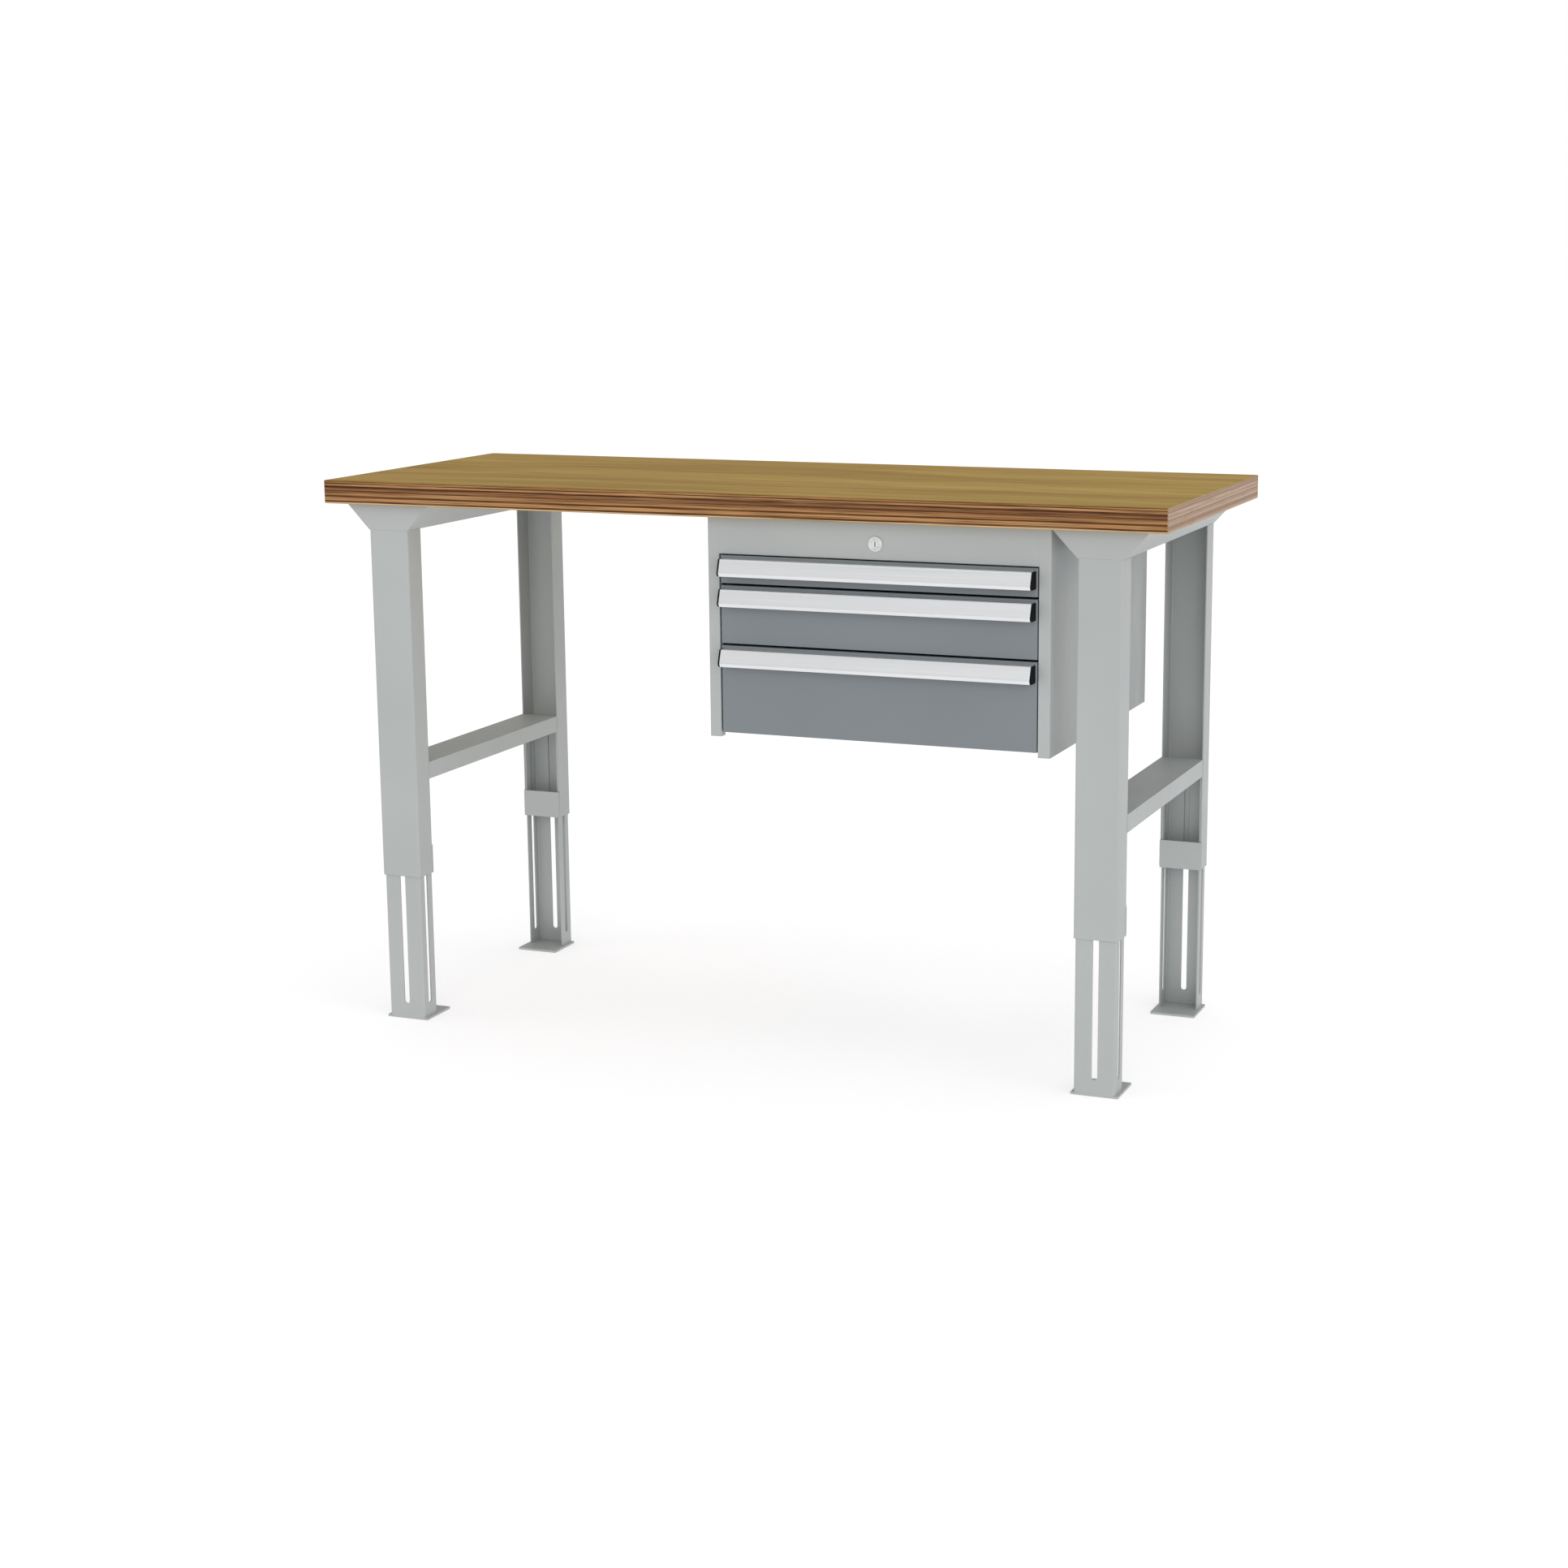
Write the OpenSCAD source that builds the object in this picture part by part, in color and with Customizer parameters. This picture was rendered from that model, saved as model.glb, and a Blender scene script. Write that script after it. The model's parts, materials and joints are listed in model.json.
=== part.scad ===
// Height-adjustable workbench with a hanging three-drawer cabinet.
// Origin: centre of the worktop's outline, on the floor. The drawers face -Y.
// It stands with its legs fully drawn out, its drawers closed and its lock open.

/* [Worktop] */
// Length of the worktop
top_len = 1500; // [1400:10:2000]
// Depth of the worktop
top_depth = 600; // [600:10:800]
// Thickness of the worktop board
top_thick = 40; // [34:1:60]
// Height of the working surface with the legs fully drawn out
top_height = 960; // [900:5:1060]
// Broken edge around the board
top_arris = 1; // [0.5:0.5:3]

/* [Frame] */
// Width of a leg across its web
leg_w = 75; // [70:1:100]
// Depth of a leg over its flanges
leg_depth = 44; // [42:1:60]
// Sheet thickness of the legs and rails
frame_sheet = 2; // [1.5:0.5:3]
// Outer bend radius of the legs
leg_bend = 4; // [3.5:0.5:6]
// Worktop end to the outer side of a leg
leg_end_inset = 75; // [60:5:150]
// Worktop front edge to the web of a front leg
leg_front_inset = 20; // [10:1:60]
// Worktop rear edge to the web of a rear leg
leg_rear_inset = 5; // [5:1:60]
// Height of an upper leg's lower edge when the legs are fully drawn out
leg_exposed = 262; // [258:1:320]
// Height of the top rail between legs and worktop
rail_h = 45; // [35:1:60]
// Width of the top rail under the worktop
rail_top_w = 160; // [140:1:180]
// How far the top rail's inward lips run past the screws
lip_past_screw = 10; // [8:1:14]
// Height of the cross-member's section
cross_h = 30; // [20:1:60]
// Upper leg's lower edge to the cross-member's underside
cross_rise = 170; // [165:5:400]
// Height of the strap that closes an upper leg's lower end
strap_h = 50; // [30:1:80]
// Thickness of the strap
strap_t = 3; // [2:0.5:4]

/* [Height adjustment] */
// Travel of each lower leg
leg_travel = 255; // [100:5:255]
// Play between upper and lower leg, each side
leg_play = 0.5; // [0.4:0.1:1]
// Width of the long slots in the lower leg
slot_w = 10; // [9.5:0.5:14]
// Diameter of the clamp studs
stud_d = 8; // [6:1:8]
// Length of the clamp studs
stud_len = 14; // [14:1:16]
// Upper leg's lower edge to the lower clamp studs
stud_rise = 25; // [20:1:40]
// Upper leg's lower edge to the upper clamp stud
stop_rise = 170; // [150:5:200]
// Side of the square foot plate
foot_side = 80; // [76:1:120]
// Thickness of the foot plate
foot_t = 4; // [3:0.5:8]

/* [Cabinet] */
// Width of the drawer cabinet
cab_w = 592; // [480:1:640]
// Depth of the drawer cabinet
cab_depth = 565; // [500:5:565]
// Sheet thickness of the cabinet
cab_sheet = 1.5; // [1:0.25:2]
// Worktop front edge to the cabinet's front
cab_front_inset = 25; // [25:1:35]
// Gap between the cabinet and the right top rail
cab_gap = 1; // [1:1:40]
// Width of the front stiles
stile_w = 20; // [18:1:30]
// Depth of the front stiles' return
stile_depth = 16; // [12:1:20]
// Height of the lock panel above the drawers
head_h = 62; // [56:1:90]
// Height of the cabinet sides below the lowest drawer
skirt_h = 8; // [8:1:40]

/* [Drawers] */
// Height pitch of the top drawer
pitch_top = 50; // [50:1:150]
// Height pitch of the middle drawer
pitch_middle = 100; // [60:5:200]
// Height pitch of the bottom drawer
pitch_bottom = 150; // [60:5:250]
// Gap between one drawer front and the next
front_gap = 4; // [2:0.5:6]
// Gap between a drawer front and a stile
front_side_gap = 2; // [1.5:0.5:4]
// Depth of the folded drawer front
front_t = 12; // [10:1:20]
// Length of the drawer trays
tray_depth = 540; // [440:5:540]
// Sheet thickness of the drawer trays
tray_sheet = 1.2; // [0.8:0.1:2]
// Travel of the drawers
drawer_travel = 460; // [300:5:460]

/* [Slides] */
// Length over which the slides still overlap when a drawer is fully out
slide_overlap = 60; // [40:5:60]
// Height of the drawer slides
slide_h = 24; // [22:1:24]
// Thickness of a drawer slide, all three members nested
slide_t = 13; // [12:0.5:16]
// Sheet thickness of the slide members
slide_sheet = 1.5; // [1:0.1:1.5]
// Play between slide members
slide_play = 0.4; // [0.3:0.1:0.6]

/* [Handles] */
// Distance from a drawer front's end to the handle's end
handle_inset = 3; // [0:1:30]
// Wall of the handle profile
handle_wall = 2; // [1.5:0.5:3]
// Thickness of the handle's end caps
cap_t = 3; // [2:0.5:5]

/* [Lock] */
// Worktop underside to the middle of the lock
lock_drop = 36; // [34:1:38]
// Diameter of the lock's rosette
lock_d = 24; // [20:1:30]
// Diameter of the lock's threaded barrel
barrel_d = 18; // [16:1:20]
// Diameter of the turning plug
plug_d = 12; // [10:1:13]
// Radius at which the cam's pin lifts the locking yoke
cam_r = 9; // [8:1:9]
// Sheet thickness of the locking yoke
yoke_t = 2; // [1.5:0.5:3]

/* [Hidden] */
$fn = 48;

// Amount by which a cut runs past the face that it opens
eps = 0.5;

// Colours
paint_grey = [0.69, 0.70, 0.69];
front_grey = [0.50, 0.54, 0.56];
wood = [0.72, 0.60, 0.34];
zinc = [0.72, 0.72, 0.70];
aluminium = [0.87, 0.87, 0.88];
black = [0.08, 0.08, 0.09];

// Frame levels and places
under_z = top_height - top_thick;
rail_z = under_z - rail_h;
leg_x = top_len / 2 - leg_end_inset - leg_w / 2;
front_y = -top_depth / 2 + leg_front_inset;
rear_y = top_depth / 2 - leg_rear_inset;
frame_depth = rear_y - front_y;
cross_z = leg_exposed + cross_rise;
stud_z = leg_exposed + stud_rise;
stop_z = leg_exposed + stop_rise;

// Lower leg: runs inside the upper leg, and its slots' upper ends stop on the upper studs
low_w = leg_w - 2 * (frame_sheet + leg_play);
low_depth = leg_depth - frame_sheet - 2 * leg_play;
low_y = frame_sheet + leg_play;
stop_gap = 0.3;
slot_high = stop_z + stud_d / 2 + stop_gap;
slot_low = stud_z - stud_d / 2 - stop_gap - leg_travel;
slot_end_wall = 12;
low_top = slot_high + slot_end_wall;
flange_slot_y = low_y + low_depth / 2;

// Clamp hardware
stud_r = stud_d / 2;
washer_r = stud_d;
washer_t = 1.6;
nut_r = stud_d * 0.94;
nut_t = stud_d * 0.8;
clamp_gap = 0.3;
washer_hole_play = 0.2;
// Distance along a clamp's axis from the upper leg's inner wall to the washer
washer_z = leg_play + frame_sheet + clamp_gap;

// Wood screws under the worktop
screw_r = 3;
screw_play = 0.3;
screw_len = 30;
screw_head_r = 5.5;
screw_head_t = 4;
screw_neck_r = screw_head_r - 1.5;
// The screws stand over the rail's flat bottom, where a driver hole reaches each one
driver_r = 6.5;
driver_edge = 5;
rail_screw_x = leg_w / 2 - driver_r - driver_edge;
rail_screw_end = leg_depth + 16;
rail_lip = rail_top_w / 2 - rail_screw_x + lip_past_screw;
cab_top_t = 2;

// Cabinet outline; its own frame has X = 0 at its middle and Y = 0 at its front
cab_x = leg_x - rail_top_w / 2 - cab_gap - cab_w / 2;
cab_y = -top_depth / 2 + cab_front_inset;
half_w = cab_w / 2;
open_half = half_w - stile_w;
open_top = under_z - head_h;
drawers_h = pitch_top + pitch_middle + pitch_bottom;
first_gap = 2;
cab_z = open_top - first_gap - drawers_h + front_gap - skirt_h;
back_flange = 12;
cab_bend = 2;
cab_screw_x = half_w - 96;
cab_screw_y = [80, cab_depth - 65];
// Locking yoke plane, slides and uprights behind the front stiles
yoke_behind_stile = 13.5;
slide_len = drawer_travel + slide_overlap;
slide_behind_yoke = 2.5;
rear_upright_inset = 24;
yoke_y = stile_depth + yoke_behind_stile;
yoke_gap = 0.5;
slide_y = yoke_y + yoke_t + slide_behind_yoke;
upright_w = 40;
tie_t = 2;
tie_z = cab_z + 2;
rear_upright_y = slide_y + slide_len - upright_w - rear_upright_inset;

// Drawers: [pitch, top of its front]
PITCHES = [pitch_top, pitch_middle, pitch_bottom];
function pitch_sum(i) = i == 0 ? 0 : pitch_sum(i - 1) + PITCHES[i - 1];
function front_top(i) = open_top - first_gap - pitch_sum(i);
function front_h(i) = PITCHES[i] - front_gap;
function front_z(i) = front_top(i) - front_h(i);
front_half = open_half - front_side_gap;
front_sheet = cab_sheet;
front_bend = 3;
tray_half = open_half - slide_t;
tray_rise = 2;
tray_drop = 8;
slide_rise = 3;
function slide_z(i) = front_z(i) + slide_rise;

// Slide members, measured from the upright towards the tray
mid_x = slide_sheet + slide_play;
mid_h = slide_h - 2 * (slide_sheet + slide_play);
inner_h = mid_h - 2 * (slide_sheet + slide_play);
outer_reach = slide_t - 1;
mid_reach = slide_t - slide_sheet - slide_play;
mid_short = 10;

// Catches on the trays and tabs on the yoke that hold the drawers shut
tab_rise = slide_h + 3;
tab_h = 5;
catch_rise = tab_rise + cam_r + 1;
catch_h = 6;
tab_reach = slide_t - 4;
catch_gap = 0.5;
catch_t = 2;
catch_low = slide_h + 1;
catch_len = 28;
catch_reach = slide_t - 2;
yoke_leg_w = 14;
yoke_leg_x = open_half + 3;
yoke_tail = 6;

// Lock
lock_z = under_z - lock_drop;
barrel_len = 24;
barrel_play = 0.2;
rosette_t = 2;
plug_proud = 0.6;
plug_play = 0.05;
plug_len = 26;
lock_nut_wall = 5;
lock_nut_t = 4;
key_w = 1.6;
key_h = 8;
key_deep = 16;
cam_t = 2.5;
cam_pin_r = 2.5;
cam_arm_r = 3.5;
cam_pin_end = 1;
cam_pin_play = 0.3;
// The pin's height follows a sine and the yoke rises evenly: this is the most they differ
cam_lead = 0.22 * cam_r;
bar_below = cam_r;
bar_above = 12;
guide_r = 3;
guide_play = 0.3;
guide_head_r = 5;
guide_x = yoke_leg_x + yoke_leg_w / 2;
guide_head_t = 2;
guide_zs = [lock_z - 4, front_z(2) + 60];

// Handle profile: [distance from the drawer front, height below the front's top]
handle_top = 5;
grip_low = 28;
lip_low = 33;
top_reach = 15;
grip_reach = 23;
lip_reach = 20;
lip_in = 12;
back_low = 17;
handle_half = front_half - handle_inset;
// Horizontal offsets of the profile's inner outline from its outer one
face_in_x = 1.05 * handle_wall;
top_in_x = 0.75 * handle_wall;
lip_in_x = 0.6 * handle_wall;

// Drawer bumpers
bumper_r = 6;
bumper_gap = 0.3;
bumper_x = tray_half - 52;
bumper_rise = 18;

// ---------- shared shapes ----------

// Outline of a U that is closed at Y = 0, with its own radius at each corner
module u_outline(w, d, r_left, r_right) {
    translate([-w / 2, r_left]) square([w / 2, d - r_left]);
    translate([0, r_right]) square([w / 2, d - r_right]);
    translate([-w / 2 + r_left, 0]) square([w - r_left - r_right, d]);
    if (r_left > 0) translate([-w / 2 + r_left, r_left]) circle(r = r_left);
    if (r_right > 0) translate([w / 2 - r_right, r_right]) circle(r = r_right);
}

// Folded sheet channel: web at Y = 0, flanges towards +Y
module channel(w, d, t, r) {
    difference() {
        u_outline(w, d, r, r);
        translate([0, t]) u_outline(w - 2 * t, d, r - t, r - t);
    }
}

// Upright slot cutter with round ends, through depth d along +Y
module slot_cut(w, low, high, d) {
    translate([-w / 2, 0, low + w / 2]) cube([w, d, high - low - w]);
    for (z = [low + w / 2, high - w / 2])
        translate([0, 0, z]) rotate([-90, 0, 0]) cylinder(r = w / 2, h = d);
}

// Puts a leg's own frame in place: web outwards, flanges towards the other leg of the pair
module at_leg(side, rear) {
    if (rear) translate([side * leg_x, rear_y, 0]) mirror([0, 1, 0]) children();
    else translate([side * leg_x, front_y, 0]) children();
}

module at_each_leg() {
    for (side = [-1, 1])
        for (rear = [false, true]) at_leg(side, rear) children();
}

// Places one clamp's own axis: along +Z from the upper leg's inner wall into the leg
module at_each_clamp() {
    for (z = [stud_z, stop_z])
        translate([0, frame_sheet, z]) rotate([-90, 0, 0]) children();
    for (s = [-1, 1])
        translate([s * (leg_w / 2 - frame_sheet), flange_slot_y, stud_z])
            rotate([0, -s * 90, 0]) children();
}

module at_cabinet() {
    translate([cab_x, cab_y, 0]) children();
}

// Draws a left-hand piece of the cabinet on one side, -1 left and 1 right
module on_side(side) {
    if (side > 0) mirror([1, 0, 0]) children();
    else children();
}

module on_both_sides() {
    for (side = [-1, 1]) on_side(side) children();
}

// ---------- worktop and frame ----------

module arris_rect(w, h, c) {
    polygon([
        [c, 0], [w - c, 0], [w, c], [w, h - c],
        [w - c, h], [c, h], [0, h - c], [0, c]
    ]);
}

// Places of all the screws that hold the frame and the cabinet to the board
module at_each_rail_screw() {
    for (side = [-1, 1], s = [-1, 1])
        for (y = [front_y + rail_screw_end, (front_y + rear_y) / 2, rear_y - rail_screw_end])
            translate([side * leg_x + s * rail_screw_x, y, 0]) children();
}

module at_each_cabinet_screw() {
    at_cabinet()
        for (x = [-cab_screw_x, 0, cab_screw_x], y = cab_screw_y)
            translate([x, y, 0]) children();
}

module worktop() {
    color(wood)
        difference() {
            intersection() {
                translate([-top_len / 2, top_depth / 2, under_z])
                    rotate([90, 0, 0]) linear_extrude(top_depth)
                        arris_rect(top_len, top_thick, top_arris);
                translate([-top_len / 2, -top_depth / 2, under_z])
                    rotate([90, 0, 90]) linear_extrude(top_len)
                        arris_rect(top_depth, top_thick, top_arris);
                translate([-top_len / 2, -top_depth / 2, under_z])
                    linear_extrude(top_thick) arris_rect(top_len, top_depth, top_arris);
            }
            at_each_rail_screw()
                translate([0, 0, under_z - eps]) cylinder(r = screw_r, h = screw_len + eps);
            at_each_cabinet_screw()
                translate([0, 0, under_z - eps]) cylinder(r = screw_r, h = screw_len + eps);
        }
}

// A screw whose head bears against a sheet that lies under the board
module wood_screw(sheet) {
    translate([0, 0, under_z - sheet]) cylinder(r = screw_r, h = sheet + screw_len);
    translate([0, 0, under_z - sheet - screw_head_t])
        cylinder(r1 = screw_neck_r, r2 = screw_head_r, h = screw_head_t);
}

module worktop_screws() {
    color(zinc) {
        at_each_rail_screw() wood_screw(frame_sheet);
        at_each_cabinet_screw() wood_screw(cab_top_t);
    }
}

// Section of the top rail: a trough whose sides flare out to the worktop
module rail_section() {
    spread = rail_top_w / 2 - leg_w / 2;
    t = frame_sheet;
    wall_x = t * sqrt(spread * spread + rail_h * rail_h) / rail_h;
    function in_x(z) = leg_w / 2 + spread * z / rail_h - wall_x;
    right = [
        [leg_w / 2, 0], [rail_top_w / 2, rail_h], [rail_top_w / 2 - rail_lip, rail_h],
        [rail_top_w / 2 - rail_lip, rail_h - t], [in_x(rail_h - t), rail_h - t], [in_x(t), t]
    ];
    left = [for (i = [len(right) - 1 : -1 : 0]) [-right[i][0], right[i][1]]];
    polygon(concat(right, left));
}

module rail_end_section() {
    polygon([
        [-leg_w / 2, 0], [leg_w / 2, 0],
        [rail_top_w / 2, rail_h], [-rail_top_w / 2, rail_h]
    ]);
}

module top_rail(side) {
    color(paint_grey)
        difference() {
            translate([side * leg_x, rear_y, rail_z]) rotate([90, 0, 0]) {
                linear_extrude(frame_depth) rail_section();
                linear_extrude(frame_sheet) rail_end_section();
                translate([0, 0, frame_depth - frame_sheet])
                    linear_extrude(frame_sheet) rail_end_section();
            }
            at_each_rail_screw() {
                translate([0, 0, under_z - frame_sheet - eps])
                    cylinder(r = screw_r + screw_play, h = frame_sheet + 2 * eps);
                translate([0, 0, rail_z - eps])
                    cylinder(r = driver_r, h = frame_sheet + 2 * eps);
            }
        }
}

module upper_leg(side, rear) {
    color(paint_grey)
        at_leg(side, rear) translate([0, 0, leg_exposed])
            linear_extrude(rail_z - leg_exposed)
                channel(leg_w, leg_depth, frame_sheet, leg_bend);
}

// Box section that joins the front and rear upper leg of one side
module cross_member(side) {
    color(paint_grey)
        translate([side * leg_x, front_y + leg_depth, cross_z])
            rotate([-90, 0, 0])
                linear_extrude(frame_depth - 2 * leg_depth)
                    difference() {
                        translate([-leg_w / 2, -cross_h]) square([leg_w, cross_h]);
                        translate([-leg_w / 2 + frame_sheet, -cross_h + frame_sheet])
                            square([leg_w - 2 * frame_sheet, cross_h - 2 * frame_sheet]);
                    }
}

module leg_straps() {
    color(paint_grey)
        at_each_leg() translate([-leg_w / 2, leg_depth, leg_exposed])
            cube([leg_w, strap_t, strap_h]);
}

module clamp_studs() {
    color(zinc) at_each_leg() at_each_clamp() cylinder(r = stud_r, h = stud_len);
}

module clamp_washers() {
    color(zinc)
        at_each_leg() at_each_clamp() translate([0, 0, washer_z])
            difference() {
                cylinder(r = washer_r, h = washer_t);
                translate([0, 0, -eps]) cylinder(r = stud_r + washer_hole_play, h = washer_t + 2 * eps);
            }
}

module clamp_nuts() {
    color(zinc)
        at_each_leg() at_each_clamp() translate([0, 0, washer_z + washer_t])
            difference() {
                cylinder(r = nut_r, h = nut_t, $fn = 6);
                translate([0, 0, -eps]) cylinder(r = stud_r, h = nut_t + 2 * eps);
            }
}

module lower_leg(side, rear) {
    color(paint_grey)
        at_leg(side, rear)
            difference() {
                translate([0, low_y, foot_t])
                    linear_extrude(low_top - foot_t)
                        channel(low_w, low_depth, frame_sheet, leg_bend);
                translate([0, low_y - eps, 0])
                    slot_cut(slot_w, slot_low, slot_high, frame_sheet + 2 * eps);
                translate([-low_w / 2 - eps, flange_slot_y, 0])
                    rotate([0, 0, -90])
                        slot_cut(slot_w, slot_low, slot_high, low_w + 2 * eps);
            }
}

module foot_plate(side, rear) {
    color(paint_grey)
        at_leg(side, rear) translate([-foot_side / 2, low_y, 0])
            cube([foot_side, foot_side, foot_t]);
}

// ---------- cabinet ----------

module cabinet_side(side) {
    color(paint_grey)
        at_cabinet() on_side(side) translate([0, 0, cab_z])
            linear_extrude(under_z - cab_z) {
                translate([-half_w + stile_w / 2, 0])
                    difference() {
                        u_outline(stile_w, stile_depth, cab_bend, 0);
                        translate([0, cab_sheet])
                            u_outline(stile_w - 2 * cab_sheet, stile_depth, cab_bend - cab_sheet, 0);
                    }
                translate([-half_w, cab_bend]) square([cab_sheet, cab_depth - cab_bend]);
                translate([-half_w, cab_depth - cab_sheet]) square([back_flange, cab_sheet]);
            }
}

module cabinet_back() {
    color(paint_grey)
        at_cabinet()
            translate([-half_w + cab_sheet, cab_depth - 2 * cab_sheet, cab_z])
                cube([cab_w - 2 * cab_sheet, cab_sheet, under_z - cab_z]);
}

module cabinet_top() {
    color(paint_grey)
        at_cabinet()
            difference() {
                translate([-half_w + cab_sheet, stile_depth, under_z - cab_top_t])
                    cube([
                        cab_w - 2 * cab_sheet,
                        cab_depth - 2 * cab_sheet - stile_depth,
                        cab_top_t
                    ]);
                for (x = [-cab_screw_x, 0, cab_screw_x], y = cab_screw_y)
                    translate([x, y, under_z - cab_top_t - eps])
                        cylinder(r = screw_r + screw_play, h = cab_top_t + 2 * eps);
            }
}

module lock_panel() {
    color(paint_grey)
        at_cabinet()
            difference() {
                translate([-open_half, 0, open_top + head_h / 2])
                    rotate([90, 0, 90]) linear_extrude(2 * open_half)
                        rotate(-90) channel(head_h, stile_depth, cab_sheet, cab_bend);
                translate([0, -eps, lock_z]) rotate([-90, 0, 0])
                    cylinder(r = barrel_d / 2 + barrel_play, h = cab_sheet + 2 * eps);
            }
}

// Flat ties that hold the cabinet sides parallel under the uprights
module bottom_ties() {
    color(paint_grey)
        at_cabinet()
            for (y = [slide_y, rear_upright_y])
                translate([-half_w + cab_sheet, y, tie_z])
                    cube([cab_w - 2 * cab_sheet, upright_w, tie_t]);
}

// Folded uprights on a side panel that carry the slides
module slide_uprights(side) {
    low = tie_z + tie_t;
    color(paint_grey)
        at_cabinet() on_side(side)
            for (y = [slide_y, rear_upright_y])
                translate([-open_half, y + upright_w / 2, low])
                    rotate([0, 0, 90]) linear_extrude(under_z - cab_top_t - low)
                        channel(upright_w, stile_w - cab_sheet, cab_sheet, cab_bend);
}

module drawer_bumpers() {
    back_y = cab_depth - 2 * cab_sheet;
    len = back_y - front_t - tray_depth - bumper_gap;
    color(black)
        at_cabinet()
            for (i = [0 : 2], s = [-1, 1])
                translate([s * bumper_x, back_y - len, front_z(i) + tray_rise + bumper_rise])
                    rotate([-90, 0, 0]) cylinder(r = bumper_r, h = len);
}

// ---------- slides ----------

// A slide member's section, web at X = 0 and flanges towards +X, standing on Z = 0
module slide_member(h, reach, len) {
    translate([0, len, h / 2]) rotate([90, 0, 0]) linear_extrude(len)
        rotate(-90) channel(h, reach, slide_sheet, slide_sheet);
}

module slide_outer(i) {
    color(zinc)
        at_cabinet() on_both_sides()
            translate([-open_half, slide_y, slide_z(i)])
                slide_member(slide_h, outer_reach, slide_len);
}

module slide_middle(i) {
    color(zinc)
        at_cabinet() on_both_sides()
            translate([-open_half + mid_x, slide_y, slide_z(i) + (slide_h - mid_h) / 2])
                slide_member(mid_h, mid_reach - mid_x, slide_len - mid_short);
}

module slide_inner(i) {
    color(zinc)
        at_cabinet() on_both_sides()
            translate([-tray_half, slide_y, slide_z(i) + (slide_h - inner_h) / 2])
                mirror([1, 0, 0])
                    slide_member(
                        inner_h,
                        slide_t - mid_x - slide_sheet - slide_play,
                        front_t + tray_depth - slide_y
                    );
}

// ---------- drawers ----------

module drawer_tray(i) {
    t = tray_sheet;
    z = front_z(i) + tray_rise;
    h = front_h(i) - tray_drop;
    color(paint_grey)
        at_cabinet() {
            difference() {
                translate([-tray_half, front_t, z]) cube([2 * tray_half, tray_depth, h]);
                translate([-tray_half + t, front_t + t, z + t])
                    cube([2 * (tray_half - t), tray_depth - 2 * t, h]);
            }
            on_both_sides() tray_catch(i);
        }
}

// Angle on the tray's side whose ear stands behind the yoke's tab
module tray_catch(i) {
    y = yoke_y + yoke_t + catch_gap;
    z = slide_z(i);
    translate([-tray_half - catch_t, y, z + catch_low])
        cube([catch_t, catch_len, catch_rise + catch_h - catch_low]);
    translate([-tray_half - catch_reach, y, z + catch_rise])
        cube([catch_reach, catch_t, catch_h]);
}

module drawer_front(i) {
    t = front_sheet;
    color(front_grey)
        at_cabinet() translate([0, 0, front_z(i)])
            difference() {
                linear_extrude(front_h(i))
                    u_outline(2 * front_half, front_t, front_bend, front_bend);
                translate([0, t, t])
                    linear_extrude(front_h(i) - 2 * t)
                        u_outline(2 * (front_half - t), front_t, front_bend - t, front_bend - t);
            }
}

module handle_section() {
    t = handle_wall;
    polygon([
        [0, -handle_top], [-top_reach, -handle_top], [-grip_reach, -grip_low],
        [-lip_reach, -lip_low], [-lip_in, -lip_low], [-lip_in, -lip_low + t],
        [-lip_reach + lip_in_x, -lip_low + t], [-grip_reach + face_in_x, -grip_low],
        [-top_reach + top_in_x, -handle_top - t], [-t, -handle_top - t],
        [-t, -back_low], [0, -back_low]
    ]);
}

module handle(i) {
    color(aluminium)
        at_cabinet() translate([-handle_half + cap_t, 0, front_top(i)])
            rotate([90, 0, 90]) linear_extrude(2 * (handle_half - cap_t)) handle_section();
}

module handle_caps(i) {
    color(black)
        at_cabinet()
            for (x = [-handle_half, handle_half - cap_t])
                translate([x, 0, front_top(i)]) rotate([90, 0, 90]) linear_extrude(cap_t)
                    polygon([
                        [0, -handle_top], [-top_reach, -handle_top], [-grip_reach, -grip_low],
                        [-lip_reach, -lip_low], [0, -lip_low]
                    ]);
}

// ---------- lock ----------

module at_lock() {
    at_cabinet() translate([0, 0, lock_z]) rotate([-90, 0, 0]) children();
}

module lock_housing() {
    color(zinc)
        at_lock()
            difference() {
                union() {
                    translate([0, 0, -rosette_t]) cylinder(r = lock_d / 2, h = rosette_t);
                    cylinder(r = barrel_d / 2, h = barrel_len);
                }
                translate([0, 0, -rosette_t - eps])
                    cylinder(r = plug_d / 2 + plug_play, h = barrel_len + rosette_t + 2 * eps);
            }
}

module lock_nut() {
    color(zinc)
        at_lock() translate([0, 0, cab_sheet])
            difference() {
                cylinder(r = barrel_d / 2 + lock_nut_wall, h = lock_nut_t, $fn = 6);
                translate([0, 0, -eps]) cylinder(r = barrel_d / 2, h = lock_nut_t + 2 * eps);
            }
}

// The keyhole stands upright while the lock is open
module lock_plug() {
    front = -rosette_t - plug_proud;
    color(zinc)
        at_lock()
            difference() {
                translate([0, 0, front]) cylinder(r = plug_d / 2, h = plug_len - front);
                translate([-key_w / 2, -key_h / 2, front - eps]) cube([key_w, key_h, key_deep]);
            }
}

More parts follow.
